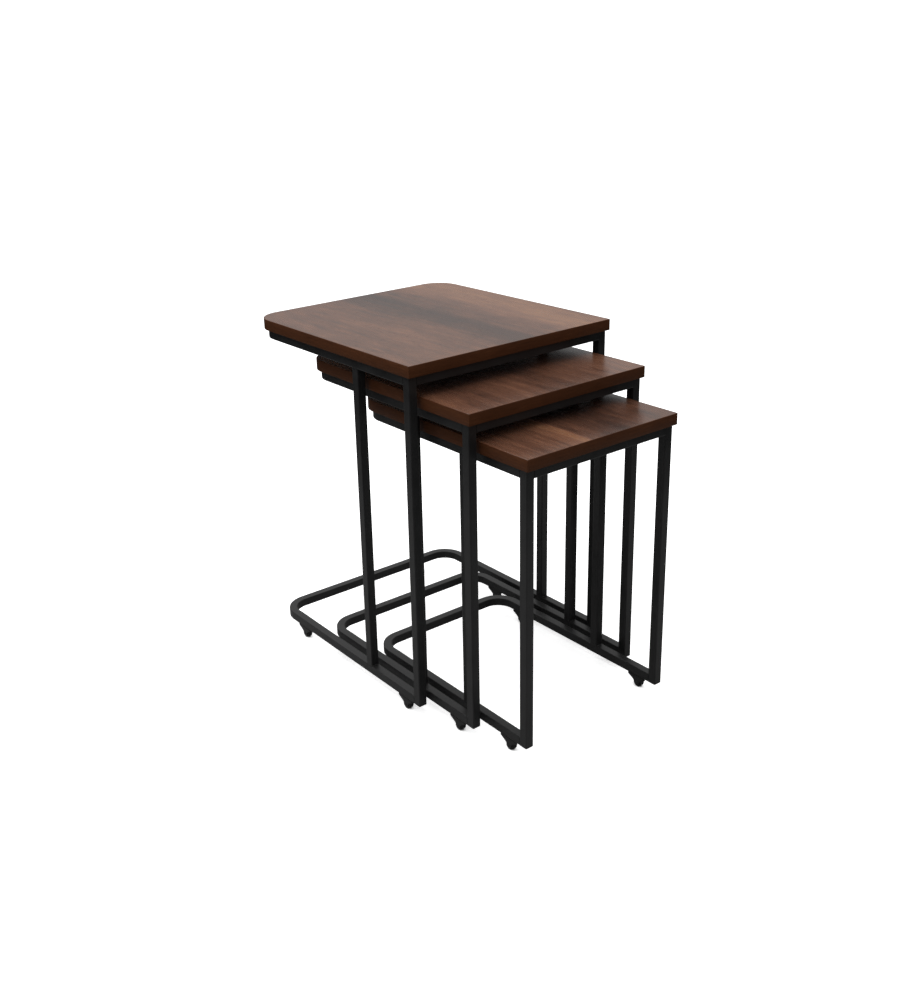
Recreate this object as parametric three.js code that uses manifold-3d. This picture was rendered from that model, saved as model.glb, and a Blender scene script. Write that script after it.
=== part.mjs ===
// A nest of three side tables on castors. Each table is a wood-effect board on a welded
// frame of square steel tube: an upper ring under the board, four posts set towards the
// front, and a low U-shaped base that is open at the front. The smaller tables roll out
// of the larger ones towards the front.
//
// Millimetres. +Z is up, the nest opens towards -Y, and +X is to the right of a person
// who stands in front of it. The origin is on the floor, under the middle of the nest as
// it stands with its smaller tables partly pulled out.

import * as THREE from "three";
import { mergeVertices } from "three/addons/utils/BufferGeometryUtils.js";
import Module from "manifold-3d";

// ---- driving dimensions ----

// How far each table stands in front of the one it nests in.
const MEDIUM_PULL = 111;
const SMALL_PULL = 99.5;

// The castor setbacks run from the front and the back of the base to a castor's pin.
const TABLES = [
  {
    name: "large",
    width: 449,
    depth: 484,
    height: 644,
    frontEdge: 0,
    frontCastorSetback: 43,
    backCastorSetback: 90.5,
  },
  {
    name: "medium",
    width: 391,
    depth: 464,
    height: 586,
    frontEdge: -MEDIUM_PULL,
    frontCastorSetback: 43,
    backCastorSetback: 82,
  },
  {
    name: "small",
    width: 333,
    depth: 446,
    height: 532,
    frontEdge: -MEDIUM_PULL - SMALL_PULL,
    frontCastorSetback: 44,
    backCastorSetback: 76,
  },
];

// Board and its edge band.
const BOARD_THICKNESS = 20;
const BOARD_CORNER_RADIUS = 48;
const BAND_THICKNESS = 1;

// How far the board stands out over the frame.
const SIDE_OVERHANG = 4.2;
const FRONT_OVERHANG = 6.5;
const BACK_OVERHANG = 7;

// Square tube and its bends.
const TUBE = 16;
const TUBE_WALL = 1.2;
const BEND_OUTER_RADIUS = 50;

// A rear post stands this far behind its front post, and the base rides this high.
const REAR_POST_SPACING = 144;
const BASE_UNDERSIDE = 23.5;

// Plastic insert that closes the foot of a front post.
const PLUG_HEAD = 1.5;
const PLUG_STEM_LENGTH = 9;
const PLUG_STEM_WIDTH = 12.8;

// Castor: a folded fork with its wheel on a riveted pin. Lengths along the rail are
// taken from the pin, and the fork reaches further back than forward.
const WHEEL_RADIUS = 9;
const WHEEL_WIDTH = 9;
const WHEEL_EDGE = 0.8;
const WHEEL_BORE_RADIUS = 2.4;
const PIN_RADIUS = 2;
const PIN_PROUD = 0.6;
const FORK_FRONT = 18.5;
const FORK_BACK = 20;
const FORK_PLATE = 2.3;
const FORK_LIP_BOTTOM = 19;
const FORK_LOBE_RADIUS = 6.2;
const FORK_LOBE_RISE = 0.25; // angle above the pin at which the lobe meets a flank
const FORK_WIDTH = 13.4;
const FORK_SLOT = 10.2;

// A flank sweeps from its lip to the lobe, and leans towards a point this far from the
// pin and this far below the lip.
const FRONT_FLANK_REACH = 9.5;
const FRONT_FLANK_DROP = 4;
const BACK_FLANK_REACH = 10;
const BACK_FLANK_DROP = 4.5;

const GAP = 0.3; // left between pieces that touch

// Facets: points along each arc of an outline, and sides of each turned shape.
const BEND_STEPS = 5;
const FORK_STEPS = 4;
const WHEEL_SIDES = 18;
const PIN_SIDES = 10;

const SIDES = [
  { name: "left", sign: -1 },
  { name: "right", sign: 1 },
];

// ---- solids: joining and cutting ----

const wasm = await Module();
wasm.setup();

function toSolid(geometry) {
  const bare = geometry.clone();
  bare.deleteAttribute("normal");
  bare.deleteAttribute("uv");
  const merged = mergeVertices(bare, 1e-4);
  const triVerts = new Uint32Array(merged.index.array);
  const vertProperties = merged.attributes.position.array;
  return new wasm.Manifold(new wasm.Mesh({ numProp: 3, vertProperties, triVerts }));
}

function toGeometry(solid) {
  const mesh = solid.getMesh();
  const geometry = new THREE.BufferGeometry();
  geometry.setAttribute("position", new THREE.BufferAttribute(mesh.vertProperties, 3));
  geometry.setIndex(new THREE.BufferAttribute(mesh.triVerts, 1));
  geometry.computeVertexNormals();
  return geometry;
}

// ---- basic shapes ----

function box(width, depth, height, x, y, z) {
  return new THREE.BoxGeometry(width, depth, height).translate(x, y, z);
}

// A plan outline in X and Y, made into a plate that starts at the given height.
function plate(shape, thickness, bottom) {
  const options = { depth: thickness, bevelEnabled: false, curveSegments: BEND_STEPS };
  return new THREE.ExtrudeGeometry(shape, options).translate(0, 0, bottom);
}

// Outline with square front corners and round back corners.
function boardOutline(width, front, back, radius, path = new THREE.Shape()) {
  const half = width / 2;
  path.moveTo(-half, front);
  path.lineTo(half, front);
  path.lineTo(half, back - radius);
  path.absarc(half - radius, back - radius, radius, 0, Math.PI / 2, false);
  path.lineTo(-half + radius, back);
  path.absarc(-half + radius, back - radius, radius, Math.PI / 2, Math.PI, false);
  path.lineTo(-half, front);
  return path;
}

// U in plan, open at the front: two legs and a back joined by two bends.
function uOutline(half, front, back, outerRadius, thickness) {
  const inner = half - thickness;
  const innerRadius = outerRadius - thickness;
  const centreX = half - outerRadius;
  const centreY = back - outerRadius;
  const shape = new THREE.Shape();
  shape.moveTo(half, front);
  shape.lineTo(half, centreY);
  shape.absarc(centreX, centreY, outerRadius, 0, Math.PI / 2, false);
  shape.lineTo(-centreX, back);
  shape.absarc(-centreX, centreY, outerRadius, Math.PI / 2, Math.PI, false);
  shape.lineTo(-half, front);
  shape.lineTo(-inner, front);
  shape.lineTo(-inner, centreY);
  shape.absarc(-centreX, centreY, innerRadius, Math.PI, Math.PI / 2, true);
  shape.lineTo(centreX, back - thickness);
  shape.absarc(centreX, centreY, innerRadius, Math.PI / 2, 0, true);
  shape.lineTo(inner, front);
  shape.closePath();
  return shape;
}

// ---- board ----

function boardCore(table) {
  const inset = BAND_THICKNESS + GAP;
  const outline = boardOutline(
    table.width - 2 * inset,
    inset,
    table.depth - inset,
    BOARD_CORNER_RADIUS - inset,
  );
  return plate(outline, BOARD_THICKNESS, table.height - BOARD_THICKNESS);
}

function edgeBand(table) {
  const t = BAND_THICKNESS;
  const outline = boardOutline(table.width, 0, table.depth, BOARD_CORNER_RADIUS);
  const inside = new THREE.Path();
  boardOutline(table.width - 2 * t, t, table.depth - t, BOARD_CORNER_RADIUS - t, inside);
  outline.holes.push(inside);
  return plate(outline, BOARD_THICKNESS, table.height - BOARD_THICKNESS);
}

// ---- frame ----

// Bent square tube, hollow and open at its two front ends.
function bentTube(table, bottom) {
  const half = table.width / 2 - SIDE_OVERHANG;
  const back = table.depth - BACK_OVERHANG;
  const front = FRONT_OVERHANG + TUBE + GAP;
  const outside = plate(uOutline(half, front, back, BEND_OUTER_RADIUS, TUBE), TUBE, bottom);
  const bore = plate(
    uOutline(
      half - TUBE_WALL,
      front - 1,
      back - TUBE_WALL,
      BEND_OUTER_RADIUS - TUBE_WALL,
      TUBE - 2 * TUBE_WALL,
    ),
    TUBE - 2 * TUBE_WALL,
    bottom + TUBE_WALL,
  );
  return toGeometry(toSolid(outside).subtract(toSolid(bore)));
}

// Straight square tube, open at both ends, along Z from the origin.
function straightTube(length) {
  const half = TUBE / 2;
  const bore = half - TUBE_WALL;
  const shape = new THREE.Shape();
  shape.moveTo(-half, -half);
  shape.lineTo(half, -half);
  shape.lineTo(half, half);
  shape.lineTo(-half, half);
  shape.closePath();
  const hole = new THREE.Path();
  hole.moveTo(-bore, -bore);
  hole.lineTo(-bore, bore);
  hole.lineTo(bore, bore);
  hole.lineTo(bore, -bore);
  hole.closePath();
  shape.holes.push(hole);
  return plate(shape, length, 0);
}

function postPlug() {
  const head = box(TUBE, TUBE, PLUG_HEAD, 0, 0, PLUG_HEAD / 2);
  const stemHeight = PLUG_STEM_LENGTH + PLUG_HEAD / 2;
  const stemCentre = PLUG_HEAD / 2 + stemHeight / 2;
  const stem = box(PLUG_STEM_WIDTH, PLUG_STEM_WIDTH, stemHeight, 0, 0, stemCentre);
  return toGeometry(toSolid(head).add(toSolid(stem)));
}

// ---- castor ----

// Side view of the fork, drawn with the pin at (0, WHEEL_RADIUS): a plate with a short
// lip at each end, and flanks that sweep in to a round lobe about the pin.
function forkProfile() {
  const top = BASE_UNDERSIDE - GAP;
  const lobe = FORK_LOBE_RADIUS;
  const rise = FORK_LOBE_RISE;
  const startX = lobe * Math.cos(rise);
  const startY = WHEEL_RADIUS + lobe * Math.sin(rise);
  const shape = new THREE.Shape();
  shape.moveTo(-FORK_FRONT, top);
  shape.lineTo(-FORK_FRONT, FORK_LIP_BOTTOM);
  shape.quadraticCurveTo(-FRONT_FLANK_REACH, FORK_LIP_BOTTOM - FRONT_FLANK_DROP, -startX, startY);
  shape.absarc(0, WHEEL_RADIUS, lobe, Math.PI - rise, 2 * Math.PI + rise, false);
  shape.quadraticCurveTo(BACK_FLANK_REACH, FORK_LIP_BOTTOM - BACK_FLANK_DROP, FORK_BACK, FORK_LIP_BOTTOM);
  shape.lineTo(FORK_BACK, top);
  shape.closePath();
  return shape;
}

// The profile is drawn in X and Y, then stood up so that it runs along Y and Z.
function acrossRail(shape, width) {
  const options = { depth: width, bevelEnabled: false, curveSegments: FORK_STEPS };
  return new THREE.ExtrudeGeometry(shape, options)
    .translate(0, 0, -width / 2)
    .rotateX(Math.PI / 2)
    .rotateZ(Math.PI / 2);
}

function castorFork() {
  const top = BASE_UNDERSIDE - GAP;
  const length = FORK_FRONT + FORK_BACK;
  const middle = (FORK_BACK - FORK_FRONT) / 2;
  const cheeks = toSolid(acrossRail(forkProfile(), FORK_WIDTH));
  const slotTop = top - FORK_PLATE;
  const slot = toSolid(box(FORK_SLOT, length + 2, slotTop, 0, middle, slotTop / 2));
  const topPlate = toSolid(box(TUBE, length, FORK_PLATE, 0, middle, top - FORK_PLATE / 2));
  const pinLength = FORK_WIDTH + 2 * PIN_PROUD;
  const pin = new THREE.CylinderGeometry(PIN_RADIUS, PIN_RADIUS, pinLength, PIN_SIDES)
    .rotateZ(Math.PI / 2)
    .translate(0, 0, WHEEL_RADIUS);
  return toGeometry(cheeks.subtract(slot).add(topPlate).add(toSolid(pin)));
}

// The wheel stands on one of its flats, so its corners reach a little past its radius.
function castorWheel() {
  const corner = WHEEL_RADIUS / Math.cos(Math.PI / WHEEL_SIDES);
  const half = WHEEL_WIDTH / 2;
  const profile = [
    [WHEEL_BORE_RADIUS, -half],
    [corner - WHEEL_EDGE, -half],
    [corner, -half + WHEEL_EDGE],
    [corner, half - WHEEL_EDGE],
    [corner - WHEEL_EDGE, half],
    [WHEEL_BORE_RADIUS, half],
    [WHEEL_BORE_RADIUS, -half],
  ].map(([r, y]) => new THREE.Vector2(r, y));
  return new THREE.LatheGeometry(profile, WHEEL_SIDES)
    .rotateY(Math.PI / WHEEL_SIDES)
    .rotateZ(Math.PI / 2)
    .translate(0, 0, WHEEL_RADIUS);
}

// ---- materials ----

function finish(color, roughness, metalness = 0) {
  return new THREE.MeshStandardMaterial({ color, roughness, metalness });
}

const woodTop = finish(0x5b3a2a, 0.5);
const woodEdge = finish(0x3a1d12, 0.5);
const blackSteel = finish(0x161617, 0.45, 0.3);
const blackPlastic = finish(0x131314, 0.55);
const wheelPlastic = finish(0x101011, 0.6);

// ---- assembly ----

function place(group, name, geometry, material, x = 0, y = 0, z = 0) {
  const mesh = new THREE.Mesh(geometry, material);
  mesh.name = name;
  mesh.position.set(x, y, z);
  group.add(mesh);
}

function addFrame(group, table) {
  const underBoard = table.height - BOARD_THICKNESS - GAP;
  const upperBottom = underBoard - TUBE;
  const postX = table.width / 2 - SIDE_OVERHANG - TUBE / 2;
  const frontY = FRONT_OVERHANG + TUBE / 2;
  const rearY = frontY + REAR_POST_SPACING;
  const frontFoot = BASE_UNDERSIDE + PLUG_HEAD + GAP;
  const rearFoot = BASE_UNDERSIDE + TUBE + GAP;

  place(group, `${table.name}_upper_frame`, bentTube(table, upperBottom), blackSteel);
  place(group, `${table.name}_base_frame`, bentTube(table, BASE_UNDERSIDE), blackSteel);

  const railLength = 2 * postX - TUBE - 2 * GAP;
  const rail = straightTube(railLength).rotateY(Math.PI / 2).translate(-railLength / 2, 0, 0);
  const railZ = upperBottom + TUBE / 2;
  place(group, `${table.name}_front_rail`, rail, blackSteel, 0, frontY, railZ);

  for (const side of SIDES) {
    const x = side.sign * postX;
    const frontPost = straightTube(underBoard - frontFoot);
    const rearPost = straightTube(upperBottom - GAP - rearFoot);
    const name = (part) => `${table.name}_${part}_${side.name}`;
    place(group, name("front_post"), frontPost, blackSteel, x, frontY, frontFoot);
    place(group, name("rear_post"), rearPost, blackSteel, x, rearY, rearFoot);
    place(group, name("post_plug"), postPlug(), blackPlastic, x, frontY, BASE_UNDERSIDE);
  }
}

function addCastors(group, table) {
  const x = table.width / 2 - SIDE_OVERHANG - TUBE / 2;
  const frontY = FRONT_OVERHANG + table.frontCastorSetback;
  const backY = table.depth - BACK_OVERHANG - table.backCastorSetback;
  for (const [end, y] of [["front", frontY], ["back", backY]]) {
    for (const side of SIDES) {
      const name = `${table.name}_castor_${end}_${side.name}`;
      place(group, `${name}_fork`, castorFork(), blackSteel, side.sign * x, y);
      place(group, `${name}_wheel`, castorWheel(), wheelPlastic, side.sign * x, y);
    }
  }
}

function buildTable(table) {
  const group = new THREE.Group();
  place(group, `${table.name}_board`, boardCore(table), woodTop);
  place(group, `${table.name}_edge_band`, edgeBand(table), woodEdge);
  addFrame(group, table);
  addCastors(group, table);
  return group;
}

const nest = new THREE.Group();
const frontmost = TABLES[TABLES.length - 1].frontEdge;
const middleY = (frontmost + TABLES[0].depth) / 2;
for (const table of TABLES) {
  const group = buildTable(table);
  group.position.y = table.frontEdge - middleY;
  nest.add(group);
}

export default nest;
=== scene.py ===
"""A nest of three side tables: wood-effect boards on black square-tube frames with castors."""

import math

import bmesh
import bpy
from mathutils import Matrix, Vector


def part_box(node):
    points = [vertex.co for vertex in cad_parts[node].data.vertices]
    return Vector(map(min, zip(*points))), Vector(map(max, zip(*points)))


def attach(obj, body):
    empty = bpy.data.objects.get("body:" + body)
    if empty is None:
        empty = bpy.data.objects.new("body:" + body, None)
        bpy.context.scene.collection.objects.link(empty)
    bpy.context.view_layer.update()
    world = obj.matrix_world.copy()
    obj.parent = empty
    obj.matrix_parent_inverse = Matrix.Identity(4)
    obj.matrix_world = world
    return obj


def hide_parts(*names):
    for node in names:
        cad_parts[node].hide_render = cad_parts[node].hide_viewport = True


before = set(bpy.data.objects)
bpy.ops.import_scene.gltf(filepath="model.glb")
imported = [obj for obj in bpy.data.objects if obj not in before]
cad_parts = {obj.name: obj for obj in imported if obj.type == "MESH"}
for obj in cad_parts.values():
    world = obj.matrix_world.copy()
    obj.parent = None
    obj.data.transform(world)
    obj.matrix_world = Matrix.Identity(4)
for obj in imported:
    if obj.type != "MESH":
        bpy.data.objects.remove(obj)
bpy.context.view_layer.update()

# ---- the nest ----

TABLES = ("large", "medium", "small")
SIDES = ("left", "right")
ENDS = ("front", "back")

MM = 0.001

TUBE = 16 * MM
TUBE_WALL = 1.2 * MM
TUBE_EDGE = 1.3 * MM
BEND_RADIUS = 42 * MM  # at the middle of the tube
WRINKLE_DEPTH = 0.9 * MM
SEAT = 0.3 * MM  # room that the solids leave between pieces that touch

BOARD_CORNER = 48 * MM
BOARD_CHAMFER = 0.25 * MM
BAND_THICKNESS = 1 * MM
BAND_ARRIS = 0.48 * MM
FRONT_CORNER = 1.2 * MM  # the band turns the front corners this tightly
BOARD_CORNER_STEPS = 16
SMALL_CORNER_STEPS = 4

WELD_WIDTH = 3.2 * MM
WELD_RIPPLE = 1.1 * MM
WELD_RIPPLE_DEPTH = 0.22  # share of the bead's width
WELD_SHORT = 1.2 * MM  # how far a bead stops before the tube's corner

SCREW_RADIUS = 3.4 * MM
SCREW_HEIGHT = 1.8 * MM
BOARD_SCREW_SHARES = (0.22, 0.72)  # how far back along a leg each screw is
CASTOR_SCREW_SCALE = 0.7
CASTOR_SCREW_FRONT = 3.6 * MM  # from the fork's front and back edges
CASTOR_SCREW_BACK = 4.6 * MM
CASTOR_SCREW_SEED = 10

WHEEL_RADIUS = 9 * MM
WHEEL_HALF_WIDTH = 4.5 * MM
BORE_RADIUS = 2.3 * MM

FORK_FRONT = -18.5 * MM  # ahead of the pin
FORK_BACK = 20 * MM
FORK_TOP = 23.2 * MM
FORK_PLATE = 2.3 * MM
FORK_LIP = 19 * MM  # height of the cheek's straight lower edges
FORK_LOBE = 6.2 * MM  # radius of the cheek round the pin
CHEEK_IN = 5.1 * MM
CHEEK_OUT = 6.7 * MM
CHEEK_BEVEL = 0.28 * MM
CHEEK_SHY = 0.6 * MM  # the cheeks end this far below the plate's top face
PLATE_CORNER = 1.5 * MM
PLATE_BEVEL = 0.4 * MM
RIVET_REACH = 0.6 * MM  # how far the pin's riveted heads stand out

PLUG_HEAD = 1.5 * MM
PLUG_STEM = 6.4 * MM  # half the stem's width, and then half its width at the tip
PLUG_TIP = 5.9 * MM


# ---- node trees in few words ----


class Tree:
    """Adds nodes to a tree; a wire is a node, an output socket or a plain value."""

    def __init__(self, tree):
        self.tree = tree

    def wire(self, node, key, value):
        if isinstance(value, bpy.types.Node):
            value = value.outputs[0]
        if isinstance(value, bpy.types.NodeSocket):
            self.tree.links.new(value, node.inputs[key])
        else:
            node.inputs[key].default_value = value

    def add(self, kind, wires=None, **settings):
        node = self.tree.nodes.new(kind)
        for name, value in settings.items():
            setattr(node, name, value)
        for key, value in (wires or {}).items():
            self.wire(node, key, value)
        return node

    def sum(self, operation, a, b=0.0, c=0.0, clamp=False):
        wires = {0: a, 1: b, 2: c}
        node = self.add("ShaderNodeMath", wires, operation=operation, use_clamp=clamp)
        return node.outputs[0]

    def vector(self, operation, a, b=(0, 0, 0)):
        if operation == "SCALE":
            wires = {0: a, 3: b}
        else:
            wires = {0: a, 1: b}
        node = self.add("ShaderNodeVectorMath", wires, operation=operation)
        return node.outputs["Value" if operation in ("LENGTH", "DOT_PRODUCT") else 0]

    def point(self, x, y, z):
        return self.add("ShaderNodeCombineXYZ", {0: x, 1: y, 2: z}).outputs[0]

    def split(self, vector):
        return self.add("ShaderNodeSeparateXYZ", {0: vector}).outputs

    def stretch(self, value, low, high, to_low=0.0, to_high=1.0):
        wires = {0: value, 1: low, 2: high, 3: to_low, 4: to_high}
        return self.add("ShaderNodeMapRange", wires).outputs[0]


SOCKETS = {
    "shape": "NodeSocketGeometry",
    "size": "NodeSocketFloat",
    "count": "NodeSocketInt",
    "place": "NodeSocketVector",
    "finish": "NodeSocketMaterial",
    "object": "NodeSocketObject",
}


def growth_tree(name, inputs):
    """A Geometry Nodes tree with a shape going in and out, and named inputs."""
    group = bpy.data.node_groups.new(name, "GeometryNodeTree")
    group.interface.new_socket("Shape", in_out="OUTPUT", socket_type=SOCKETS["shape"])
    group.interface.new_socket("Shape", in_out="INPUT", socket_type=SOCKETS["shape"])
    for label, kind in inputs.items():
        group.interface.new_socket(label, in_out="INPUT", socket_type=SOCKETS[kind])
    tree = Tree(group)
    given = tree.add("NodeGroupInput").outputs
    return tree, given


def end_tree(tree, shape, given):
    """Every tree ends the same way: plain geometry with its material."""
    real = tree.add("GeometryNodeRealizeInstances", {"Geometry": shape})
    wires = {"Geometry": real, "Material": given["Finish"]}
    painted = tree.add("GeometryNodeSetMaterial", wires)
    tree.add("NodeGroupOutput", {"Shape": painted})
    return tree.tree


def grow(base, tree, values):
    """Runs a tree on a base object and keeps the result as a plain mesh object."""
    name = base.name
    modifier = base.modifiers.new("growth", "NODES")
    modifier.node_group = tree
    for item in tree.interface.items_tree:
        if item.in_out == "INPUT" and item.name in values:
            modifier[item.identifier] = values[item.name]
    bpy.context.scene.collection.objects.link(base)
    graph = bpy.context.evaluated_depsgraph_get()
    mesh = bpy.data.meshes.new_from_object(base.evaluated_get(graph))
    mesh.name = name
    bpy.data.objects.remove(base)
    return piece_of(name, mesh)


# ---- meshes in few words ----


def piece_of(name, mesh, finish=None):
    piece = bpy.data.objects.new(name, mesh)
    bpy.context.scene.collection.objects.link(piece)
    if finish is not None:
        mesh.materials.clear()
        mesh.materials.append(finish)
    return piece


def smooth(mesh, sharp):
    """Smooth shading, except at edges sharper than the angle in degrees."""
    for polygon in mesh.polygons:
        polygon.use_smooth = True
    mesh.set_sharp_from_angle(angle=math.radians(sharp))


def mesh_of(name, bm, sharp):
    """Ends a bmesh: no doubled points, faces outwards, smooth below the angle."""
    bmesh.ops.remove_doubles(bm, verts=bm.verts, dist=1e-7)
    bmesh.ops.recalc_face_normals(bm, faces=bm.faces)
    mesh = bpy.data.meshes.new(name)
    bm.to_mesh(mesh)
    bm.free()
    smooth(mesh, sharp)
    return mesh


def face_outwards(mesh):
    bm = bmesh.new()
    bm.from_mesh(mesh)
    bmesh.ops.recalc_face_normals(bm, faces=bm.faces)
    bm.to_mesh(mesh)
    bm.free()


def wires_of(name, chains):
    """An object of bare edges, one chain of points after another."""
    points = []
    edges = []
    for chain in chains:
        first = len(points)
        points.extend(chain)
        edges.extend((first + i, first + i + 1) for i in range(len(chain) - 1))
    mesh = bpy.data.meshes.new(name)
    mesh.from_pydata([tuple(p) for p in points], edges, [])
    return bpy.data.objects.new(name, mesh)


def loft(bm, rings, close_ends=True):
    """Joins rings of points, each with the same count, into a skin."""
    loops = [[bm.verts.new(p) for p in ring] for ring in rings]
    for low, high in zip(loops, loops[1:]):
        for i in range(len(low)):
            j = (i + 1) % len(low)
            bm.faces.new((low[i], low[j], high[j], high[i]))
    if close_ends:
        bm.faces.new(list(reversed(loops[0])))
        bm.faces.new(loops[-1])


def quarter_turn(x, y, radius, start, steps):
    """Points on a quarter circle, anticlockwise from the start angle in degrees."""
    points = []
    for i in range(steps + 1):
        turn = math.radians(start + 90 * i / steps)
        points.append((x + radius * math.cos(turn), y + radius * math.sin(turn)))
    return points


def lathe_on_axle(profile, steps):
    """Rings of points: a profile of (x, radius) turned about the wheel's axle."""
    rings = []
    for x, radius in profile:
        ring = []
        for i in range(steps):
            turn = 2 * math.pi * i / steps
            ring.append((x, radius * math.cos(turn), WHEEL_RADIUS + radius * math.sin(turn)))
        rings.append(ring)
    return rings


# ---- square tube ----


def rounded_square(tree, width, edge, points):
    """A closed square with round corners: points near a corner move onto its arc."""
    wires = {"Width": width, "Height": width}
    outline = tree.add("GeometryNodeCurvePrimitiveQuadrilateral", wires, mode="RECTANGLE")
    wires = {"Curve": outline, "Count": points}
    outline = tree.add("GeometryNodeResampleCurve", wires, mode="COUNT")
    where = tree.add("GeometryNodeInputPosition").outputs[0]
    flat = tree.sum("SUBTRACT", tree.sum("MULTIPLY", width, 0.5), edge)
    most = tree.point(flat, flat, 0.0)
    least = tree.vector("SCALE", most, -1.0)
    core = tree.vector("MAXIMUM", tree.vector("MINIMUM", where, most), least)
    away = tree.vector("NORMALIZE", tree.vector("SUBTRACT", where, core))
    moved = tree.vector("ADD", core, tree.vector("SCALE", away, edge))
    return tree.add("GeometryNodeSetPosition", {"Geometry": outline, "Position": moved})


def bend_wrinkles(tree, skin, given):
    """The inside wall of a cold bend sinks a little, and folds into small waves."""
    slack = 0.2 * MM  # so that the inside wall's own points count as inside
    where = tree.add("GeometryNodeInputPosition").outputs[0]
    x, y, z = tree.split(where)
    centre_x, centre_y, centre_z = tree.split(given["Bend centre"])
    side = tree.sum("SIGN", x)
    out_x = tree.sum("SUBTRACT", tree.sum("ABSOLUTE", x), centre_x)
    out_y = tree.sum("SUBTRACT", y, centre_y)
    reach = tree.sum("SQRT", tree.sum("ADD", tree.sum("MULTIPLY", out_x, out_x),
                                      tree.sum("MULTIPLY", out_y, out_y)))
    turn = tree.sum("ARCTAN2", out_y, out_x)
    in_bend = tree.sum("MULTIPLY", tree.sum("GREATER_THAN", out_x, 0.0),
                       tree.sum("GREATER_THAN", out_y, 0.0))
    half = tree.sum("MULTIPLY", given["Width"], 0.5)
    wall = tree.sum("ADD", tree.sum("SUBTRACT", given["Bend radius"], half), slack)
    inner = tree.sum("LESS_THAN", reach, wall)
    high = tree.sum("DIVIDE", tree.sum("SUBTRACT", z, centre_z), half)
    crown = tree.sum("SUBTRACT", 1.0, tree.sum("MULTIPLY", high, high), clamp=True)
    ease = tree.sum("SINE", tree.sum("MULTIPLY", turn, 2.0))
    wave = tree.sum("SINE", tree.sum("MULTIPLY", turn, given["Wrinkles"]))
    wave = tree.sum("MULTIPLY_ADD", wave, 0.4, 0.6)
    depth = tree.sum("MULTIPLY", given["Wrinkle depth"], tree.sum("MULTIPLY", wave, ease))
    depth = tree.sum("MULTIPLY", depth, tree.sum("MULTIPLY", crown, crown))
    depth = tree.sum("MULTIPLY", depth, tree.sum("MULTIPLY", in_bend, inner))
    way = tree.vector("NORMALIZE", tree.point(tree.sum("MULTIPLY", out_x, side), out_y, 0.0))
    offset = tree.vector("SCALE", way, depth)
    return tree.add("GeometryNodeSetPosition", {"Geometry": skin, "Offset": offset})


def square_tube_tree():
    """Hollow square tube along a line of edges, with its corners bent to a radius."""
    tree, given = growth_tree(
        "square_tube",
        {
            "Width": "size",
            "Wall": "size",
            "Edge radius": "size",
            "Section points": "count",
            "Bend radius": "size",
            "Bend steps": "count",
            "Bend centre": "place",
            "Wrinkle depth": "size",
            "Wrinkles": "size",
            "Finish": "finish",
        },
    )
    path = tree.add("GeometryNodeMeshToCurve", {"Mesh": given["Shape"]})
    wires = {"Curve": path, "Count": given["Bend steps"], "Radius": given["Bend radius"]}
    path = tree.add("GeometryNodeFilletCurve", wires, mode="POLY")
    bore = tree.sum("SUBTRACT", given["Width"], tree.sum("MULTIPLY", given["Wall"], 2.0))
    bore_edge = tree.sum("MULTIPLY", given["Wall"], 0.5)
    points = given["Section points"]
    outer = rounded_square(tree, given["Width"], given["Edge radius"], points)
    inner = rounded_square(tree, bore, bore_edge, points)
    skin = tree.add("GeometryNodeCurveToMesh", {"Curve": path, "Profile Curve": outer})
    skin = bend_wrinkles(tree, skin, given)
    lining = tree.add("GeometryNodeCurveToMesh", {"Curve": path, "Profile Curve": inner})
    both = tree.add("GeometryNodeJoinGeometry")
    tree.wire(both, 0, tree.add("GeometryNodeFlipFaces", {"Mesh": lining}))
    tree.wire(both, 0, skin)
    return end_tree(tree, both, given)


def close_tube_ends(mesh):
    """Joins the outer wall to the bore at each open end, as a sawn tube end is."""
    bm = bmesh.new()
    bm.from_mesh(mesh)
    loops = []
    left = [e for e in bm.edges if e.is_boundary]
    while left:
        loop = [left.pop()]
        reach = list(loop[0].verts)
        while reach:
            for edge in reach.pop().link_edges:
                if edge in left:
                    left.remove(edge)
                    loop.append(edge)
                    reach.extend(edge.verts)
        loops.append(loop)

    def middle(loop):
        points = [v.co for e in loop for v in e.verts]
        return sum(points, Vector()) / len(points)

    while loops:
        first = loops.pop()
        mate = min(loops, key=lambda other: (middle(other) - middle(first)).length)
        loops.remove(mate)
        bmesh.ops.bridge_loops(bm, edges=first + mate)
    bmesh.ops.recalc_face_normals(bm, faces=bm.faces)
    bm.to_mesh(mesh)
    bm.free()
    smooth(mesh, sharp=30)


def tube_piece(name, line, tree, finish, bend_centre=(0, 0, 0), wrinkle=0.0):
    values = {
        "Width": TUBE,
        "Wall": TUBE_WALL,
        "Edge radius": TUBE_EDGE,
        "Section points": 64,
        "Bend radius": BEND_RADIUS,
        "Bend steps": 32,
        "Bend centre": bend_centre,
        "Wrinkle depth": wrinkle,
        "Wrinkles": 26.0,
        "Finish": finish,
    }
    piece = grow(wires_of(name, [line]), tree, values)
    close_tube_ends(piece.data)
    return piece


def bent_frame(table, level, tree, finish, body):
    """The U of tube under a board or above the castors."""
    node = f"{table}_{level}_frame"
    low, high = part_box(node)
    half = TUBE / 2
    x = high.x - half
    front = low.y - SEAT
    back = high.y - half
    z = low.z + half
    if level == "upper":
        z += SEAT
    line = [(x, front, z), (x, back, z), (-x, back, z), (-x, front, z)]
    centre = (x - BEND_RADIUS, back - BEND_RADIUS, z)
    piece = tube_piece(f"{table}_{level}_tube", line, tree, finish, centre, WRINKLE_DEPTH)
    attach(piece, body)
    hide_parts(node)


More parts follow.
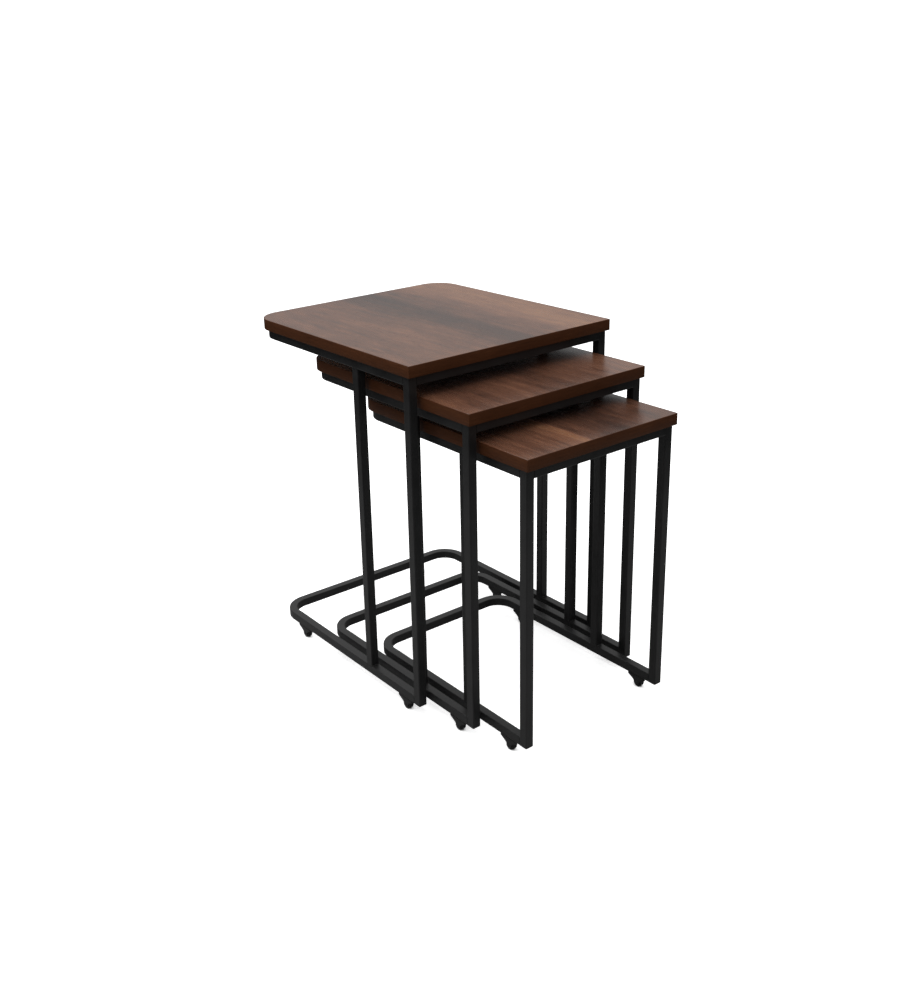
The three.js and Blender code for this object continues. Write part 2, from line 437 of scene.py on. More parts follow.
def straight_tube(table, part, axis, tree, finish, body):
    """A post or a rail, with the gaps that the solids leave at its ends closed."""
    node = f"{table}_{part}"
    low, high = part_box(node)
    start = (low + high) / 2
    end = start.copy()
    start[axis] = low[axis] - SEAT
    end[axis] = high[axis] + SEAT
    piece = tube_piece(f"{table}_{part}_tube", [start, end], tree, finish)
    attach(piece, body)
    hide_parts(node)


# ---- boards ----


def board_outline(low, high, inset):
    """Plan points, anticlockwise from the middle of the back, open at its end."""
    left, right = low.x + inset, high.x - inset
    front, back = low.y + inset, high.y - inset
    big = BOARD_CORNER - inset
    little = max(FRONT_CORNER - inset, 0.1 * MM)
    points = [((left + right) / 2, back)]
    points += quarter_turn(left + big, back - big, big, 90, BOARD_CORNER_STEPS)
    points += quarter_turn(left + little, front + little, little, 180, SMALL_CORNER_STEPS)
    points += quarter_turn(right - little, front + little, little, 270, SMALL_CORNER_STEPS)
    points += quarter_turn(right - big, back - big, big, 0, BOARD_CORNER_STEPS)
    return points


def board_piece(table, finish, body):
    """The core board with its laminate, and a fine chamfer round both faces."""
    low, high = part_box(f"{table}_edge_band")
    shy = 0.02 * MM  # the laminate lies this much below the band's edges
    levels = [
        (BAND_THICKNESS + BOARD_CHAMFER, low.z + shy),
        (BAND_THICKNESS, low.z + BOARD_CHAMFER),
        (BAND_THICKNESS, high.z - BOARD_CHAMFER),
        (BAND_THICKNESS + BOARD_CHAMFER, high.z - shy),
    ]
    bm = bmesh.new()
    loft(bm, [[(x, y, z) for x, y in board_outline(low, high, inset)] for inset, z in levels])
    piece = piece_of(f"{table}_top", mesh_of(f"{table}_top", bm, sharp=30), finish)
    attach(piece, body)
    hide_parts(f"{table}_board")


def edge_band_tree():
    """A strip along a line of edges; each point keeps how far along the strip it is."""
    tree, given = growth_tree(
        "edge_band",
        {"Thickness": "size", "Height": "size", "Arris": "size", "Finish": "finish"},
    )
    path = tree.add("GeometryNodeMeshToCurve", {"Mesh": given["Shape"]})
    along = tree.add("GeometryNodeSplineParameter").outputs["Length"]
    wires = {"Geometry": path, "Name": "along", "Value": along}
    path = tree.add("GeometryNodeStoreNamedAttribute", wires, data_type="FLOAT", domain="POINT")
    wires = {"Width": given["Thickness"], "Height": given["Height"]}
    section = tree.add("GeometryNodeCurvePrimitiveQuadrilateral", wires, mode="RECTANGLE")
    wires = {"Curve": section, "Count": 4, "Radius": given["Arris"]}
    section = tree.add("GeometryNodeFilletCurve", wires, mode="POLY")
    wires = {"Curve": path, "Profile Curve": section, "Fill Caps": True}
    strip = tree.add("GeometryNodeCurveToMesh", wires)
    return end_tree(tree, strip, given)


def band_piece(table, tree, finish, body):
    """The strip round a board, with its butt joint in the middle of the back."""
    low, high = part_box(f"{table}_edge_band")
    z = (low.z + high.z) / 2
    line = [(x, y, z) for x, y in board_outline(low, high, BAND_THICKNESS / 2)]
    joint_x, joint_y, z = line[0]
    line[0] = (joint_x - 0.02 * MM, joint_y, z)
    line.append((joint_x + 0.04 * MM, joint_y, z))
    values = {
        "Thickness": BAND_THICKNESS,
        "Height": high.z - low.z,
        "Arris": BAND_ARRIS,
        "Finish": finish,
    }
    piece = grow(wires_of(f"{table}_band", [line]), tree, values)
    face_outwards(piece.data)
    smooth(piece.data, sharp=35)
    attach(piece, body)
    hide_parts(f"{table}_edge_band")


# ---- weld beads ----


def weld_bead_tree():
    """A rippled bead along each edge, thinner where it starts and ends."""
    tree, given = growth_tree(
        "weld_bead",
        {
            "Bead width": "size",
            "Ripple length": "size",
            "Ripple depth": "size",
            "Finish": "finish",
        },
    )
    path = tree.add("GeometryNodeMeshToCurve", {"Mesh": given["Shape"]})
    step = tree.sum("MULTIPLY", given["Ripple length"], 0.2)
    path = tree.add("GeometryNodeResampleCurve", {"Curve": path, "Length": step}, mode="LENGTH")
    spline = tree.add("GeometryNodeSplineParameter").outputs
    turn = tree.sum("DIVIDE", spline["Length"], given["Ripple length"])
    share = tree.sum("FRACT", turn)
    ripple = tree.sum("MULTIPLY", share, given["Ripple depth"])
    centred = tree.sum("MULTIPLY_ADD", spline["Factor"], 2.0, -1.0)
    square = tree.sum("MULTIPLY", centred, centred)
    fourth = tree.sum("MULTIPLY", square, square)
    ends = tree.sum("SQRT", tree.sum("SUBTRACT", 1.02, fourth))  # 1.02 leaves a blunt tip
    size = tree.sum("MULTIPLY", tree.sum("SUBTRACT", 1.0, ripple), ends)
    half = tree.sum("MULTIPLY", given["Bead width"], 0.5)
    section = tree.add("GeometryNodeCurvePrimitiveCircle", {"Resolution": 10, "Radius": half})
    wires = {"Curve": path, "Profile Curve": section, "Scale": size, "Fill Caps": True}
    bead = tree.add("GeometryNodeCurveToMesh", wires)
    return end_tree(tree, bead, given)


def weld_lines(table):
    """Seams across the tube: posts on the base, and the rails on the posts."""
    base_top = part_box(f"{table}_base_frame")[1].z
    upper_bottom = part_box(f"{table}_upper_frame")[0].z
    rail_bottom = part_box(f"{table}_front_rail")[0].z
    reach = TUBE / 2 - WELD_SHORT
    lines = []
    for side in SIDES:
        low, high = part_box(f"{table}_rear_post_{side}")
        x = (low.x + high.x) / 2
        for z in (low.z - SEAT, high.z + SEAT):
            for y in (low.y, high.y):
                lines.append([(x - reach, y, z), (x + reach, y, z)])
        low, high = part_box(f"{table}_front_post_{side}")
        for z in (base_top, upper_bottom):
            lines.append([(x - reach, high.y, z), (x + reach, high.y, z)])
        inner = low.x if x > 0 else high.x
        y = (low.y + high.y) / 2
        lines.append([(inner, y - reach, rail_bottom), (inner, y + reach, rail_bottom)])
    return lines


def weld_piece(table, tree, finish, body):
    values = {
        "Bead width": WELD_WIDTH,
        "Ripple length": WELD_RIPPLE,
        "Ripple depth": WELD_RIPPLE_DEPTH,
        "Finish": finish,
    }
    piece = grow(wires_of(f"{table}_welds", weld_lines(table)), tree, values)
    face_outwards(piece.data)
    smooth(piece.data, sharp=50)
    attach(piece, body)


# ---- screws ----


def screw_mesh():
    """A pan head with a cross recess, head down, its seat at z = 0."""
    arm = 16  # degrees to each side of an arm of the cross
    recess_depth = 0.55  # of the head's height, at the middle
    spokes = []
    for quarter in range(4):
        for offset in (-arm, arm, 20, 45, 70):
            spokes.append((90 * quarter + offset, abs(offset) == arm))
    rings = [  # share of the radius, share of the height, whether the cross reaches it
        (0.10, 1.00, True),
        (0.30, 1.00, True),
        (0.58, 0.97, True),
        (0.62, 0.96, False),
        (0.80, 0.82, False),
        (0.95, 0.50, False),
        (1.00, 0.10, False),
        (1.00, 0.00, False),
    ]
    loops = []
    for share, level, crossed in rings:
        ring = []
        for angle, in_arm in spokes:
            turn = math.radians(angle)
            sunk = crossed and (in_arm or share < 0.2)
            depth = recess_depth * (1 - 0.5 * share) if sunk else 0.0
            ring.append((
                SCREW_RADIUS * share * math.cos(turn),
                SCREW_RADIUS * share * math.sin(turn),
                -SCREW_HEIGHT * (level - depth),
            ))
        loops.append(ring)
    bm = bmesh.new()
    loft(bm, loops)
    return mesh_of("screw_head", bm, sharp=35)


def screws_tree():
    """A screw head at each point, each stopped at its own turn of the driver."""
    tree, given = growth_tree(
        "screws",
        {"Head": "object", "Head scale": "size", "Seed": "count", "Finish": "finish"},
    )
    head = tree.add("GeometryNodeObjectInfo", {"Object": given["Head"]})
    stop = tree.add("FunctionNodeRandomValue", data_type="FLOAT")
    for key, value in ((2, 0.0), (3, 2 * math.pi), ("Seed", given["Seed"])):
        tree.wire(stop, key, value)
    turn = tree.add("FunctionNodeEulerToRotation")
    tree.wire(turn, 0, tree.point(0.0, 0.0, stop.outputs[1]))
    scale = tree.point(given["Head scale"], given["Head scale"], given["Head scale"])
    placed = tree.add(
        "GeometryNodeInstanceOnPoints",
        {
            "Points": given["Shape"],
            "Instance": head.outputs["Geometry"],
            "Rotation": turn,
            "Scale": scale,
        },
    )
    return end_tree(tree, placed, given)


def board_screw_points(table):
    """Two screws along each leg, two in the back and two in the front rail."""
    low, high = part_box(f"{table}_upper_frame")
    half = TUBE / 2
    side_x = high.x - half
    length = high.y - low.y
    z = low.z + SEAT
    points = []
    for x in (-side_x, side_x):
        for share in BOARD_SCREW_SHARES:
            points.append((x, low.y + share * length, z))
    rail_low, rail_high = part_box(f"{table}_front_rail")
    for x in (-side_x / 2, side_x / 2):
        points.append((x, high.y - half, z))
        points.append((x, (rail_low.y + rail_high.y) / 2, rail_low.z))
    return points


def castor_screw_points(table):
    """Two screws hold each castor fork up against the base, clear of the wheel."""
    points = []
    for end in ENDS:
        for side in SIDES:
            low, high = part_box(f"{table}_castor_{end}_{side}_fork")
            x = (low.x + high.x) / 2
            z = high.z - FORK_PLATE
            points.append((x, low.y + CASTOR_SCREW_FRONT, z))
            points.append((x, high.y - CASTOR_SCREW_BACK, z))
    return points


def screw_piece(name, points, head, scale, seed, tree, finish, body):
    values = {"Head": head, "Head scale": scale, "Seed": seed, "Finish": finish}
    piece = grow(wires_of(name, [[p] for p in points]), tree, values)
    smooth(piece.data, sharp=35)
    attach(piece, body)


# ---- castors ----


def quadratic(a, b, c):
    """Points on a curve from a to c that leans towards b, without its first point."""
    steps = 8
    points = []
    for i in range(1, steps + 1):
        t = i / steps
        points.append(tuple((1 - t) ** 2 * a[k] + 2 * t * (1 - t) * b[k] + t * t * c[k]
                            for k in range(2)))
    return points


def cheek_outline(top):
    """Side view of a fork's cheek as (y, z), with the pin at y = 0."""
    rise = 0.25  # radians above the pin where the flanks meet the round lobe
    steps = 16
    lobe_y, lobe_z = FORK_LOBE * math.cos(rise), WHEEL_RADIUS + FORK_LOBE * math.sin(rise)
    front_lean = (-9.5 * MM, FORK_LIP - 4 * MM)
    back_lean = (10 * MM, FORK_LIP - 4.5 * MM)
    points = [(FORK_FRONT, top), (FORK_FRONT, FORK_LIP)]
    points += quadratic(points[-1], front_lean, (-lobe_y, lobe_z))
    for i in range(1, steps + 1):
        turn = math.pi - rise + (math.pi + 2 * rise) * i / steps
        points.append((FORK_LOBE * math.cos(turn), WHEEL_RADIUS + FORK_LOBE * math.sin(turn)))
    points += quadratic(points[-1], back_lean, (FORK_BACK, FORK_LIP))
    points.append((FORK_BACK, top))
    return points


def bevelled(bm, width):
    edges = [e for e in bm.edges if e.is_manifold and e.calc_face_angle() > math.radians(35)]
    bmesh.ops.bevel(bm, geom=edges, offset=width, segments=2, profile=0.5,
                    affect="EDGES", clamp_overlap=True)


def add_shell(bm, shell):
    """Adds a finished closed shell to the piece that is being built."""
    bmesh.ops.recalc_face_normals(shell, faces=shell.faces)
    mesh = bpy.data.meshes.new("shell")
    shell.to_mesh(mesh)
    shell.free()
    bm.from_mesh(mesh)
    bpy.data.meshes.remove(mesh)


def fork_mesh():
    """Two cheeks hanging from a top plate, with the wheel's pin riveted through."""
    whole = bmesh.new()
    outline = cheek_outline(FORK_TOP - CHEEK_SHY)
    for sign in (-1, 1):
        cheek = bmesh.new()
        loft(cheek, [[(sign * x, y, z) for y, z in outline] for x in (CHEEK_IN, CHEEK_OUT)])
        bevelled(cheek, CHEEK_BEVEL)
        add_shell(whole, cheek)

    plate = bmesh.new()
    x = TUBE / 2 - PLATE_CORNER
    front, back = FORK_FRONT + PLATE_CORNER, FORK_BACK - PLATE_CORNER
    outline = []
    for cx, cy, start in ((x, back, 0), (-x, back, 90), (-x, front, 180), (x, front, 270)):
        outline += quarter_turn(cx, cy, PLATE_CORNER, start, SMALL_CORNER_STEPS)
    loft(plate, [[(x, y, z) for x, y in outline] for z in (FORK_TOP - FORK_PLATE, FORK_TOP)])
    bevelled(plate, PLATE_BEVEL)
    add_shell(whole, plate)

    pin = bmesh.new()
    tip = CHEEK_OUT + RIVET_REACH
    right_half = [  # (x, radius) from inside the cheek out over the riveted head
        (CHEEK_OUT - 0.1 * MM, 1.9 * MM),
        (CHEEK_OUT - 0.05 * MM, 2.1 * MM),
        (tip - 0.4 * MM, 1.95 * MM),
        (tip - 0.12 * MM, 1.4 * MM),
        (tip, 0.6 * MM),
    ]
    profile = [(-x, radius) for x, radius in reversed(right_half)] + right_half
    loft(pin, lathe_on_axle(profile, steps=20))
    add_shell(whole, pin)

    mesh = bpy.data.meshes.new("castor_fork")
    whole.to_mesh(mesh)
    whole.free()
    smooth(mesh, sharp=40)
    return mesh


def wheel_mesh():
    """A moulded wheel: round tread, sunk web on each side, hub and bore."""
    side = WHEEL_HALF_WIDTH
    rim = WHEEL_RADIUS
    right_half = [  # (x, radius) from the bore out over the hub, the web and the tread
        (side, BORE_RADIUS),
        (side, 3.6 * MM),
        (side - 0.25 * MM, 3.9 * MM),
        (side - 0.9 * MM, 4.1 * MM),
        (side - 1.1 * MM, 4.5 * MM),
        (side - 1.1 * MM, 6.0 * MM),
        (side - 0.9 * MM, 6.4 * MM),
        (side - 0.2 * MM, 6.6 * MM),
        (side - 0.02 * MM, 6.8 * MM),
        (side - 0.02 * MM, rim - 1.1 * MM),
        (side - 0.3 * MM, rim - 0.5 * MM),
        (side - 0.8 * MM, rim - 0.15 * MM),
        (side - 1.5 * MM, rim),
        (0.22 * MM, rim),
        (0.1 * MM, rim - 0.1 * MM),
    ]
    profile = [(-x, radius) for x, radius in right_half] + right_half[::-1]
    rings = lathe_on_axle(profile, steps=40)
    rings.append(rings[0])
    bm = bmesh.new()
    loft(bm, rings, close_ends=False)
    return mesh_of("castor_wheel", bm, sharp=40)


def placed_copy(name, mesh, offset, finish):
    """A copy of a mesh with its place in its points."""
    copy = mesh.copy()
    copy.name = name
    copy.transform(Matrix.Translation(offset))
    return piece_of(name, copy, finish)


def castor_pieces(table, fork, wheel, finishes, body):
    for end in ENDS:
        for side in SIDES:
            name = f"{table}_castor_{end}_{side}"
            low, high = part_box(f"{name}_wheel")
            centre = (low + high) / 2
            offset = Vector((centre.x, centre.y, 0))
            shell = placed_copy(f"{name}_bracket", fork, offset, finishes["fork"])
            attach(shell, body)
            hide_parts(f"{name}_fork")
            tyre = placed_copy(f"{name}_roller", wheel, offset, finishes["wheel"])
            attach(tyre, f"{name}_wheel")
            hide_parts(f"{name}_wheel")


# ---- plugs in the posts' feet ----


def plug_piece(table, side, finish, body):
    """A plastic insert: a head as wide as the tube, and a stem up into its bore."""
    node = f"{table}_post_plug_{side}"
    low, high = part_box(node)
    x, y = (low.x + high.x) / 2, (low.y + high.y) / 2
    wide = TUBE / 2
    head = low.z + PLUG_HEAD + SEAT
    levels = [
        (wide - 0.7 * MM, low.z),
        (wide - 0.2 * MM, low.z + 0.25 * MM),
        (wide, low.z + 0.7 * MM),
        (wide, head),
        (PLUG_STEM, head),
        (PLUG_STEM, high.z - 1.0 * MM),
        (PLUG_TIP, high.z),
    ]
    rings = []
    for half, z in levels:
        corner = min(TUBE_EDGE, half)
        reach = half - corner
        ring = []
        for sx, sy, start in ((1, 1, 0), (-1, 1, 90), (-1, -1, 180), (1, -1, 270)):
            cx, cy = x + sx * reach, y + sy * reach
            ring += quarter_turn(cx, cy, corner, start, SMALL_CORNER_STEPS)
        rings.append([(px, py, z) for px, py in ring])
    bm = bmesh.new()
    loft(bm, rings)
    piece = piece_of(f"{table}_foot_plug_{side}", mesh_of(node, bm, sharp=35), finish)
    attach(piece, body)
    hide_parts(node)


# ---- finishes ----


class Finish(Tree):
    """A material built from nodes, with one shader at its end."""

    def __init__(self, name):
        self.material = bpy.data.materials.new(name)
        self.material.use_nodes = True
        super().__init__(self.material.node_tree)
        self.shader = self.tree.nodes["Principled BSDF"]

    def spots(self, offset=(0, 0, 0)):
        """The piece's own coordinates in metres, moved by an offset."""
        place = self.add("ShaderNodeTexCoord").outputs["Object"]
        return self.add("ShaderNodeMapping", {"Vector": place, "Location": offset}).outputs[0]

    def noise(self, where, scale, detail=2.0, rough=0.5):
        wires = {"Vector": where, "Scale": scale, "Detail": detail, "Roughness": rough}
        return self.add("ShaderNodeTexNoise", wires).outputs["Fac"]

    def blend(self, share, a, b):
        return self.add("ShaderNodeMix", {0: share, 6: a, 7: b}, data_type="RGBA").outputs[2]

    def ramp(self, value, stops):
        """Colours or plain tones along a value, eased from one stop to the next."""
        node = self.add("ShaderNodeValToRGB", {0: value})
        node.color_ramp.interpolation = "EASE"
        marks = node.color_ramp.elements
        while len(marks) < len(stops):
            marks.new(0.5)
        for mark, (position, tone) in zip(marks, stops):
            mark.position = position
            mark.color = (tone, tone, tone, 1) if isinstance(tone, float) else (*tone, 1)
        return node.outputs[0]

    def bump(self, height, distance, strength):
        wires = {"Height": height, "Distance": distance, "Strength": strength}
        return self.add("ShaderNodeBump", wires).outputs[0]

    def set(self, **values):
        for name, value in values.items():
            self.wire(self.shader, name.replace("_", " "), value)


# How light each board's laminate is from its left edge to its right, with a painted reflection
# lightening the large board's right part: (share of the width, tone).
TONE_AND_REFLECTION_BANDS = {
    "large": [
        (0.0, 0.52), (0.25, 0.52), (0.4, 0.45), (0.47, 0.2), (0.58, 0.14), (0.64, 0.42),
        # the rise to 0.8 towards the large board's right edge is a painted reflection
        (0.85, 0.8),
    ],
    "medium": [(0.0, 0.7), (0.12, 0.46), (0.3, 0.5), (0.55, 0.42), (0.75, 0.54), (1.0, 0.6)],
    "small": [
        (0.0, 0.56), (0.28, 0.52), (0.32, 0.74), (0.4, 0.82), (0.42, 0.34), (0.66, 0.26),
        (0.8, 0.44),
    ],
}
FIGURES = {"large": 1.3, "medium": 4.7, "small": 8.1}  # where in the noise each board is cut


def walnut_finish(table):
    """Walnut-effect laminate: grain runs front to back, in streaks and dark bands; the large
    board's right part carries a painted reflection.
    """
    figure = FIGURES[table]
    low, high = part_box(f"{table}_edge_band")
    middle = (low + high) / 2
    f = Finish(f"walnut_laminate_{table}")
    centred = f.spots(offset=(-middle.x, -middle.y, -high.z))
    x, y, _ = f.split(centred)
    sway_at = f.vector("MULTIPLY", centred, (1.0, 0.35, 1.0))
    sway_at = f.vector("ADD", sway_at, (figure, figure * 2, 0))
    sway = f.sum("SUBTRACT", f.noise(sway_at, scale=6.0), 0.5)
    wander = f.sum("MULTIPLY_ADD", sway, 30 * MM, x)

    def drawn_out(share, slice_at):
        """Grain coordinates: the smaller the share, the longer the streaks."""
        return f.point(wander, f.sum("MULTIPLY", y, share), slice_at)

    grain = drawn_out(0.09, figure)
    broad = f.noise(grain, scale=14.0)
    middling = f.noise(grain, scale=80.0, detail=4.0, rough=0.62)
    fine_grain = drawn_out(0.06, figure + 3)
    fine = f.noise(fine_grain, scale=460.0, detail=3.0, rough=0.6)
    cloud_at = f.vector("ADD", centred, (figure, 7, 1))
    cloud = f.noise(cloud_at, scale=16.0, detail=3.0)
    speckle_at = drawn_out(0.25, figure + 5)
    speckle = f.noise(speckle_at, scale=800.0, detail=3.0, rough=0.7)
    weights = ((broad, 0.55), (middling, 0.8), (fine, 0.75), (cloud, 0.25), (speckle, 0.6))
    tone = 0.0
    for layer, weight in weights:
        tone = f.sum("MULTIPLY_ADD", f.sum("SUBTRACT", layer, 0.5), weight, tone)
    share = f.sum("ADD", f.sum("DIVIDE", wander, high.x - low.x), 0.5)
    # The bands give each laminate's own figure, and on the large board a painted reflection on
    # its right part.
    tone = f.sum("ADD", tone, f.ramp(share, TONE_AND_REFLECTION_BANDS[table]), clamp=True)

    colour = f.ramp(tone, [
        (0.0, (0.022, 0.0105, 0.0072)),
        (0.25, (0.046, 0.0205, 0.0125)),
        (0.5, (0.088, 0.038, 0.022)),
        (0.75, (0.138, 0.061, 0.034)),
        (1.0, (0.200, 0.094, 0.047)),
    ])
    pore = f.noise(drawn_out(0.05, figure), scale=1700.0, detail=1.0)
    pore = f.stretch(pore, 0.57, 0.67)
    patch = f.stretch(f.noise(grain, scale=110.0), 0.4, 0.6, 0.35, 1.0)
    pore = f.sum("MULTIPLY", pore, patch)
    pore_colour = (0.024, 0.0115, 0.008, 1)
    colour = f.blend(f.sum("MULTIPLY", pore, 0.42), colour, pore_colour)

    rough = f.stretch(middling, 0.3, 0.7, 0.22, 0.27)
    rough = f.sum("MULTIPLY_ADD", pore, 0.12, rough)
    relief = f.sum("MULTIPLY_ADD", fine, 0.4, f.sum("MULTIPLY", pore, -1.0))
    f.set(Base_Color=colour, Roughness=rough, Specular_IOR_Level=0.5,
          Normal=f.bump(relief, 0.03 * MM, strength=0.5))
    return f.material


def edge_band_finish():
    """Dark red-brown plastic strip with a faint printed grain along its length."""
    f = Finish("walnut_edge_band")
    along = f.add("ShaderNodeAttribute", attribute_name="along").outputs["Fac"]
    z = f.split(f.spots())["Z"]
    streak_at = f.point(f.sum("MULTIPLY", along, 0.08), z, 0.0)
    streak = f.noise(streak_at, scale=420.0, detail=3.0, rough=0.6)
    broad = f.noise(f.point(along, f.sum("MULTIPLY", z, 3.0), 2.0), scale=9.0)
    tone = f.sum("MULTIPLY_ADD", f.sum("SUBTRACT", broad, 0.5), 0.7, streak, clamp=True)
    colour = f.ramp(tone, [
        (0.2, (0.046, 0.0155, 0.0056)),
        (0.5, (0.065, 0.0220, 0.0080)),
        (0.8, (0.085, 0.0295, 0.0106)),
    ])
    grain = f.noise(f.spots(), scale=2600.0)
    rough = f.stretch(streak, 0.3, 0.7, 0.42, 0.52)
    f.set(Base_Color=colour, Roughness=rough, Specular_IOR_Level=0.15,
          Normal=f.bump(grain, 0.03 * MM, strength=0.5))
    return f.material


def powder_coat(name, tone, rough, peel=1.0):
    """Satin black powder coat: a fine orange peel, and faint dusty patches."""
    f = Finish(name)
    here = f.spots()
    peel_waves = f.noise(here, scale=750.0, rough=0.45)
    grit = f.noise(here, scale=3200.0, detail=1.0)
    patch = f.noise(here, scale=24.0, detail=3.0)
    dark = tuple(0.8 * c for c in tone)
    dusty = tuple(1.25 * c for c in tone)
    colour = f.blend(f.stretch(patch, 0.35, 0.65), (*dark, 1), (*dusty, 1))
    rough = f.stretch(patch, 0.3, 0.7, rough - 0.03, rough + 0.04)
    rough = f.sum("MULTIPLY_ADD", grit, 0.06, rough)
    relief = f.sum("MULTIPLY_ADD", grit, 0.25, peel_waves)
    f.set(Base_Color=colour, Roughness=rough, Specular_IOR_Level=0.34,
          Normal=f.bump(relief, 0.16 * MM * peel, strength=0.6))
    return f.material


def moulded_plastic(name, tone, rough):
    """Black moulded plastic with a spark-eroded skin and scuffed patches."""
    f = Finish(name)
    here = f.spots()
    skin = f.noise(here, scale=2200.0, rough=0.6)
    worn = f.noise(here, scale=190.0, detail=4.0, rough=0.65)
    worn = f.stretch(worn, 0.55, 0.72)
    light = tuple(2.2 * c for c in tone)
    colour = f.blend(f.sum("MULTIPLY", worn, 0.5), (*tone, 1), (*light, 1))
    rough = f.sum("MULTIPLY_ADD", worn, 0.14, rough)
    rough = f.sum("MULTIPLY_ADD", skin, 0.08, rough)
    f.set(Base_Color=colour, Roughness=rough, Specular_IOR_Level=0.4,
          Normal=f.bump(skin, 0.04 * MM, strength=0.6))
    return f.material


def screw_finish():
    """Black zinc on steel, brighter where the driver has rubbed it."""
    f = Finish("black_zinc")
    here = f.spots()
    rub = f.stretch(f.noise(here, scale=900.0, detail=3.0, rough=0.6), 0.45, 0.65)
    colour = f.blend(rub, (0.05, 0.05, 0.052, 1), (0.16, 0.16, 0.165, 1))
    rough = f.stretch(rub, 0.0, 1.0, 0.42, 0.3)
    turned = f.noise(here, scale=2400.0)
    f.set(Base_Color=colour, Metallic=0.9, Roughness=rough,
          Normal=f.bump(turned, 0.03 * MM, strength=0.5))
    return f.material


# ---- studio ----


def add_camera():
    """In front and to the left of the nest, looking a little down on the tops."""
    place = (-1.24989, -1.52628, 1.13148)
    yaw, pitch, roll = 0.61968, 0.34001, -0.039346
    forward = Vector((
        math.sin(yaw) * math.cos(pitch), math.cos(yaw) * math.cos(pitch), -math.sin(pitch)
    ))
    right = Vector((math.cos(yaw), -math.sin(yaw), 0))
    up = right.cross(forward)
    tilted_right = math.cos(roll) * right + math.sin(roll) * up
    tilted_up = math.cos(roll) * up - math.sin(roll) * right
    turn = Matrix((tilted_right, tilted_up, -forward)).transposed()
    data = bpy.data.cameras.new("camera")
    data.lens = 41.25
    data.sensor_width = 36
    data.shift_x = 0.0684
    data.shift_y = -0.0581
    data.clip_start = 0.05
    data.clip_end = 50
    camera = bpy.data.objects.new("camera", data)
    camera.matrix_world = Matrix.Translation(place) @ turn.to_4x4()
    bpy.context.scene.collection.objects.link(camera)
    bpy.context.scene.camera = camera


def add_floor():
    """A round white sheet that stays white to the eye but sheds little light upwards, with a
    painted shadow in narrow gaps under the nest.
    """
    radius = 6.0
    steps = 64
    turns = [2 * math.pi * i / steps for i in range(steps)]
    bm = bmesh.new()
    bm.faces.new([bm.verts.new((radius * math.cos(a), radius * math.sin(a), 0)) for a in turns])
    mesh = bpy.data.meshes.new("floor")
    bm.to_mesh(mesh)
    bm.free()

    f = Finish("studio_floor")
    seen = f.add("ShaderNodeLightPath").outputs["Is Camera Ray"]
    crack = 32 * MM  # a painted shadow darkens the floor only in gaps narrower than about this
    # Ambient occlusion sets where the painted shadow falls: near 1 in the open, near 0 in
    # narrow gaps.
    painted_shadow_mask = f.add("ShaderNodeAmbientOcclusion", {"Distance": crack}, samples=8).outputs["AO"]
    painted_shadow_mask = f.stretch(painted_shadow_mask, 0.28, 0.54, 0.03, 1.0)
    shed = f.stretch(f.vector("LENGTH", f.spots()), 1.2, 1.6, 0.3, 0.02)
    shed = f.add("ShaderNodeCombineColor", {0: shed, 1: shed, 2: shed})
    pale = f.blend(seen, shed, (0.85, 0.85, 0.85, 1))
    # Painted shadow: in narrow gaps the floor's colour turns near black and its glow fades.
    pale = f.blend(painted_shadow_mask, (0.02, 0.02, 0.02, 1), pale)
    glow = f.sum("MULTIPLY", f.sum("MULTIPLY", seen, 0.75), painted_shadow_mask)
    f.set(Base_Color=pale, Roughness=0.9, Specular_IOR_Level=0.0,
          Emission_Color=(1, 1, 1, 1), Emission_Strength=glow)
    floor = piece_of("floor", mesh, f.material)


def add_lamp(name, place, side, power):
    """A square soft box, side metres wide, aimed at the middle of the nest."""
    data = bpy.data.lights.new(name, "AREA")
    data.shape = "RECTANGLE"
    data.size = data.size_y = side
    data.energy = power
    lamp = bpy.data.objects.new(name, data)
    lamp.location = place
    direction = Vector((0, 0, 0.3)) - Vector(place)
    lamp.rotation_euler = direction.to_track_quat("-Z", "Y").to_euler()
    bpy.context.scene.collection.objects.link(lamp)


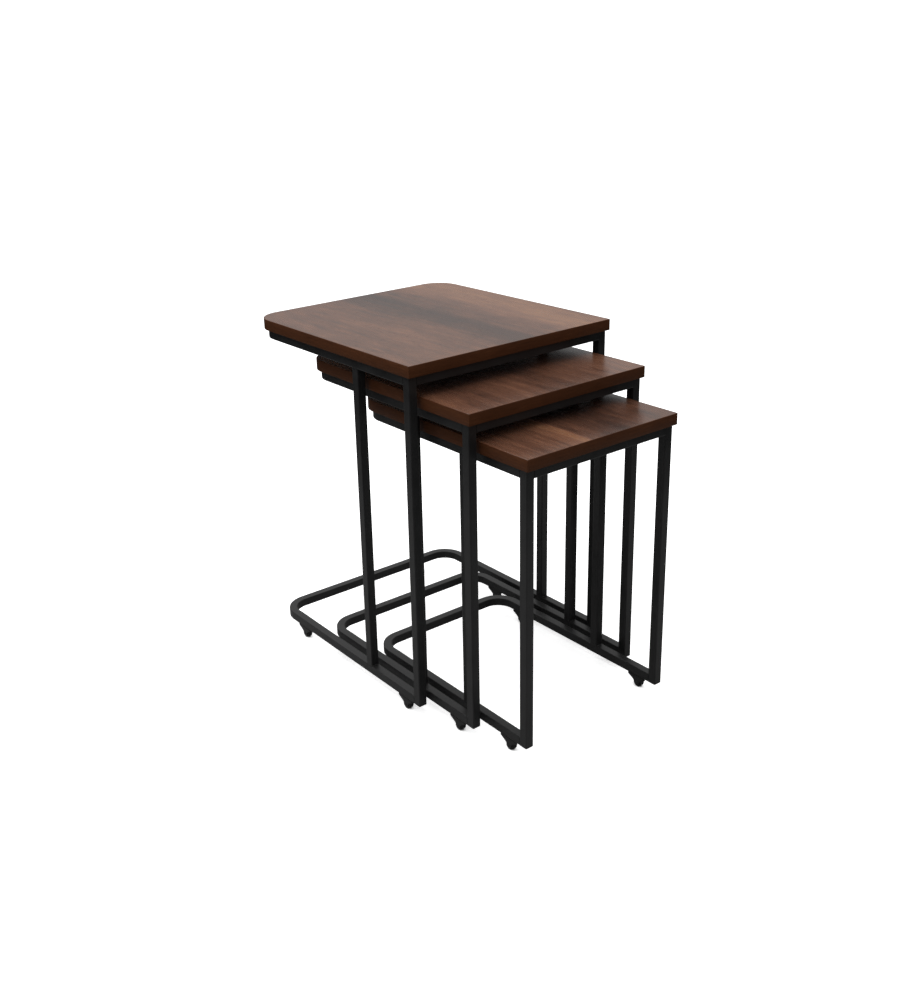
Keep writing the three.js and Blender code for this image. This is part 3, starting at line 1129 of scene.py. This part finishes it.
def add_world():
    """White to the eye, and for light a sky that brightens upwards and to the back right."""
    world = bpy.data.worlds.new("studio")
    world.use_nodes = True
    bpy.context.scene.world = world
    t = Tree(world.node_tree)
    shader = world.node_tree.nodes["Background"]
    seen = t.add("ShaderNodeLightPath").outputs["Is Camera Ray"]
    way = t.vector("NORMALIZE", t.add("ShaderNodeTexCoord").outputs["Generated"])
    sky = t.stretch(t.split(way)["Z"], 0.0, 0.7, 0.03, 0.8)
    backdrop = t.stretch(t.vector("DOT_PRODUCT", way, (0.58, 0.81, 0.0)), 0.45, 0.95, 0.0, 0.2)
    sky = t.sum("ADD", sky, backdrop)
    t.wire(shader, "Strength", t.sum("MAXIMUM", t.sum("MULTIPLY", seen, 1.2), sky))
    t.wire(shader, "Color", (1, 1, 1, 1))


def add_studio():
    add_camera()
    add_floor()
    add_world()
    add_lamp("overhead", place=(-0.6, 0.2, 3.2), side=3.0, power=90)
    add_lamp("left", place=(-2.6, -0.4, 2.0), side=1.6, power=8)
    bpy.context.scene.view_settings.view_transform = "Standard"


# ---- assembly ----

add_studio()

tube_rule = square_tube_tree()
band_rule = edge_band_tree()
weld_rule = weld_bead_tree()
screw_rule = screws_tree()

steel = powder_coat("satin_black_powder_coat", (0.012, 0.012, 0.0122), rough=0.35)
finishes = {
    "fork": powder_coat("castor_black_paint", (0.011, 0.011, 0.011), rough=0.32, peel=0.6),
    "wheel": moulded_plastic("castor_wheel_plastic", (0.010, 0.010, 0.010), rough=0.42),
    "plug": moulded_plastic("foot_plug_plastic", (0.012, 0.012, 0.012), rough=0.5),
    "screw": screw_finish(),
    "band": edge_band_finish(),
}

screw_head = bpy.data.objects.new("screw_head", screw_mesh())
fork_shape = fork_mesh()
wheel_shape = wheel_mesh()

ALONG_X, ALONG_Z = 0, 2

for seed, table in enumerate(TABLES):
    body = f"{table}_table"
    board_piece(table, walnut_finish(table), body)
    band_piece(table, band_rule, finishes["band"], body)
    bent_frame(table, "upper", tube_rule, steel, body)
    bent_frame(table, "base", tube_rule, steel, body)
    straight_tube(table, "front_rail", ALONG_X, tube_rule, steel, body)
    for side in SIDES:
        straight_tube(table, f"front_post_{side}", ALONG_Z, tube_rule, steel, body)
        straight_tube(table, f"rear_post_{side}", ALONG_Z, tube_rule, steel, body)
        plug_piece(table, side, finishes["plug"], body)
    weld_piece(table, weld_rule, steel, body)
    screw_piece(f"{table}_board_screws", board_screw_points(table), screw_head, 1.0,
                seed, screw_rule, finishes["screw"], body)
    screw_piece(f"{table}_castor_screws", castor_screw_points(table), screw_head,
                CASTOR_SCREW_SCALE, seed + CASTOR_SCREW_SEED, screw_rule,
                finishes["screw"], body)
    castor_pieces(table, fork_shape, wheel_shape, finishes, body)

bpy.data.objects.remove(screw_head)
